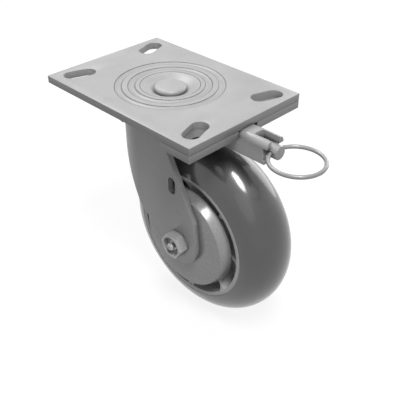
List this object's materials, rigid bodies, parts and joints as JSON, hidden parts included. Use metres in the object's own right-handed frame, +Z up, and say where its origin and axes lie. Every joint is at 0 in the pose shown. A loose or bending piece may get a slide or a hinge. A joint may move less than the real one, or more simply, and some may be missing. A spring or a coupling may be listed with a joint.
{
  "type": "swivel castor",
  "caption": "Top-plate swivel castor with a round-tread wheel, a ball-bearing swivel and a spring lock pin with a pull ring.",
  "frame": {"origin": "centre of the mounting plate's top face, on the swivel axis", "axes": "+Z up, out of the mounting face; +X along the plate's long side towards the pull ring, the way the wheel trails; +Y to the side of the axle nut"},
  "size_m": [0.2235, 0.1142, 0.1841],
  "materials": {
    "plate_steel": "satin zinc plating",
    "fork_steel": "satin zinc plating",
    "guard_steel": "satin zinc plating",
    "housing_metal": "satin zinc plating on a casting",
    "core_metal": "satin casting",
    "tread": "smooth, slightly glossy grey elastomer",
    "bolt_steel": "zinc plating",
    "pin_steel": "bright drawn steel",
    "bearing_steel": "ground bearing steel",
    "seal_rubber": "moulded rubber",
    "nylon": "moulded nylon"
  },
  "bodies": {
    "plate": {"top_plate": "plate_steel", "kingpin": "bolt_steel", "lower_race": "bearing_steel", "kingpin_nut": "bolt_steel", "lock_plate": "plate_steel", "lock_housing": "housing_metal", "pin_bush": "pin_steel", "lock_spring": "pin_steel", "race_seal": "seal_rubber"},
    "fork": {"fork": "fork_steel", "upper_balls": "bearing_steel", "lower_balls": "bearing_steel", "axle_bolt": "bolt_steel", "grease_fitting": "bolt_steel", "axle_washer": "bolt_steel", "axle_nut": "bolt_steel", "nut_insert": "nylon", "axle_sleeve": "bearing_steel", "guard_near": "guard_steel", "guard_far": "guard_steel", "end_spacer_near": "bearing_steel", "end_spacer_far": "bearing_steel", "bearing_spacer": "bearing_steel", "inner_race_near": "bearing_steel", "inner_race_far": "bearing_steel"},
    "wheel": {"wheel_core": "core_metal", "tyre": "tread", "outer_race_near": "bearing_steel", "outer_race_far": "bearing_steel", "bearing_balls_near": "bearing_steel", "bearing_balls_far": "bearing_steel"},
    "slider": {"spring_washer": "pin_steel"},
    "pin": {"lock_pin": "pin_steel", "pin_clip": "pin_steel"},
    "ring": {"pull_ring": "pin_steel"}
  },
  "joints": [
    {"name": "swivel", "type": "hinge", "parent": "plate", "child": "fork", "pos_m": [0, 0, -0.0148], "axis": [0, 0, 1], "continuous": true},
    {"name": "wheel_spin", "type": "hinge", "parent": "fork", "child": "wheel", "pos_m": [0.04445, 0, -0.10795], "axis": [0, 1, 0], "continuous": true},
    {"name": "pin_pull", "type": "slide", "parent": "plate", "child": "slider", "axis": [1, 0, 0], "range_m": [-0.0015, 0.0019], "deforming": ["lock_spring"]},
    {"name": "pin_turn", "type": "hinge", "parent": "slider", "child": "pin", "pos_m": [0.08, 0, -0.0151], "axis": [1, 0, 0], "range_deg": [-8, 8]},
    {"name": "ring_hinge", "type": "hinge", "parent": "pin", "child": "ring", "pos_m": [0.1041, 0, -0.0151], "axis": [0, 1, 0], "range_deg": [-35, 75]}
  ]
}
